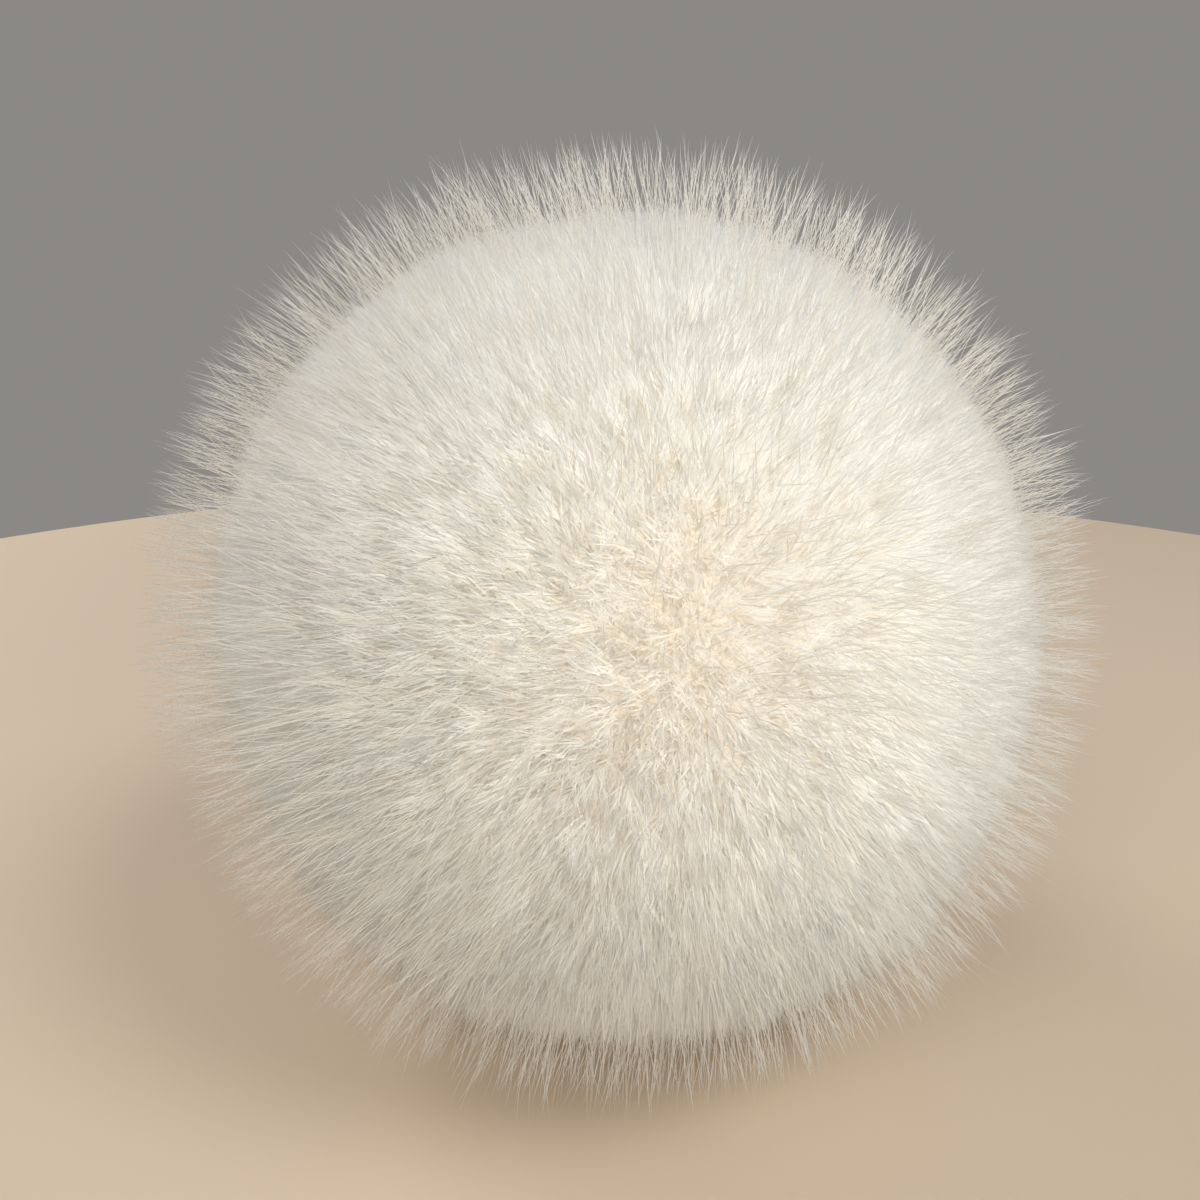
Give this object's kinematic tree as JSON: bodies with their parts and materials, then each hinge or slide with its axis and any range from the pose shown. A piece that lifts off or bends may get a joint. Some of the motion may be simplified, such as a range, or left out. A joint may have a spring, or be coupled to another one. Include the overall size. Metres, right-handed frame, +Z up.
{
  "type": "pom pom",
  "caption": "Round plush pom pom of long ivory faux fur, a little uneven, with a small flat spot underneath that it rests on.",
  "frame": {"origin": "the middle of the ball's width and depth, on the surface that it rests on", "axes": "+Z up, out of the flat spot; the front of the ball, seen in the picture, looks towards -Y, and +X is to its right"},
  "size_m": [0.1204, 0.121, 0.1113],
  "materials": {
    "fur": "long soft pile: dense fine underfur with glossier guard hairs standing out of it in loose pointed tufts, ivory with a faint tan at the roots"
  },
  "bodies": {
    "root": {"fur_ball": "fur"}
  },
  "joints": []
}
